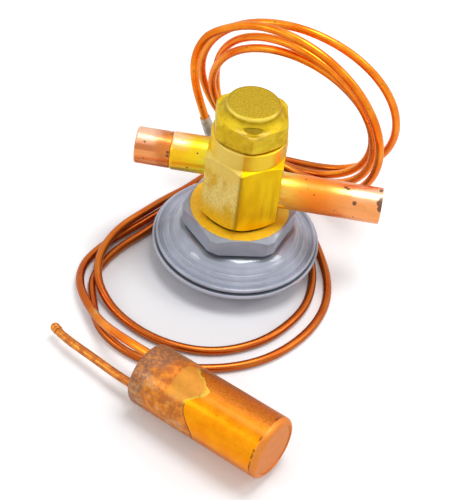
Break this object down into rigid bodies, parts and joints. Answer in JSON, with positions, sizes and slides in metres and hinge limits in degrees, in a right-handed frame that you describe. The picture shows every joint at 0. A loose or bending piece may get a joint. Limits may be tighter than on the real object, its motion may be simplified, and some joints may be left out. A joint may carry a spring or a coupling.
{
  "type": "thermostatic expansion valve",
  "caption": "Straight-through brass thermostatic expansion valve standing on its grey diaphragm head, with solder stubs, hex seal cap, long copper capillary in loops and a copper sensing bulb.",
  "frame": {"origin": "on the valve's axis, at the flat face of the power head that stands on the floor", "axes": "+Z along the valve's axis from the power head to the seal cap, +X out along the inlet stub, +Y towards the standing coil of the capillary"},
  "size_m": [0.1236, 0.1886, 0.0951],
  "materials": {
    "painted_head": "gloss grey paint",
    "nut_brass": "machined, painted grey on its sides",
    "body_brass": "machined, slightly tarnished",
    "cap_brass": "machined, darker and duller than the body",
    "inner_brass": "machined",
    "stub_copper": "copper tube, oxide bloom from heating",
    "sleeve_brass": "drawn, yellow",
    "capillary_copper": "bright drawn copper",
    "bulb_copper": "copper with heat tint",
    "riser_steel": "drawn tube",
    "ferrule_steel": "dull, silver brazed",
    "stainless": "ground",
    "spring_steel": "drawn wire",
    "seal_copper": "annealed copper washer",
    "packing_white": "moulded fluoropolymer"
  },
  "bodies": {
    "valve": {"head_charge_side_plate": "painted_head", "head_body_side_plate": "painted_head", "head_diaphragm": "stainless", "head_nut": "nut_brass", "head_gasket": "seal_copper", "valve_body": "body_brass", "inlet_stub": "stub_copper", "outlet_sleeve": "sleeve_brass", "outlet_stub": "stub_copper", "inlet_strainer": "stainless", "valve_seat": "stainless", "superheat_spring": "spring_steel", "packing_gland": "inner_brass", "stem_packing": "packing_white", "packing_washer": "stainless", "gland_gasket": "seal_copper", "charge_riser": "riser_steel", "braze_ferrule": "ferrule_steel", "capillary_lead": "capillary_copper", "capillary_coil": "capillary_copper", "capillary_loops": "capillary_copper", "bulb_shell": "bulb_copper", "bulb_plug": "bulb_copper", "charging_tube": "bulb_copper"},
    "pin_group": {"valve_pin": "stainless", "pin_carrier": "inner_brass", "push_rod_1": "stainless", "push_rod_2": "stainless", "buffer_plate": "inner_brass"},
    "seat_group": {"spring_seat": "inner_brass"},
    "stem": {"adjusting_stem": "stainless"},
    "seal_ring": {"cap_seal": "seal_copper"},
    "cap": {"seal_cap": "cap_brass"}
  },
  "joints": [
    {"name": "pin_lift", "type": "slide", "parent": "valve", "child": "pin_group", "axis": [0, 0, 1], "range_m": [0, 0.0008], "deforming": ["head_diaphragm"]},
    {"name": "seat_travel", "type": "slide", "parent": "valve", "child": "seat_group", "axis": [0, 0, 1], "range_m": [-0.002, 0.0015], "deforming": ["superheat_spring"]},
    {"name": "stem_turn", "type": "hinge", "parent": "seat_group", "child": "stem", "pos_m": [0, 0, 0.07], "axis": [0, 0, 1], "range_deg": [-720, 540]},
    {"name": "cap_rise", "type": "slide", "parent": "valve", "child": "seal_ring", "axis": [0, 0, 1], "range_m": [0, 0.006]},
    {"name": "cap_turn", "type": "hinge", "parent": "seal_ring", "child": "cap", "pos_m": [0, 0, 0.07], "axis": [0, 0, 1], "range_deg": [0, 1440]}
  ],
  "couplings": [
    {"joint": "stem_turn", "follows": "seat_travel", "rad_per_m": 6283.2},
    {"joint": "cap_turn", "follows": "cap_rise", "rad_per_m": 4188.8}
  ]
}
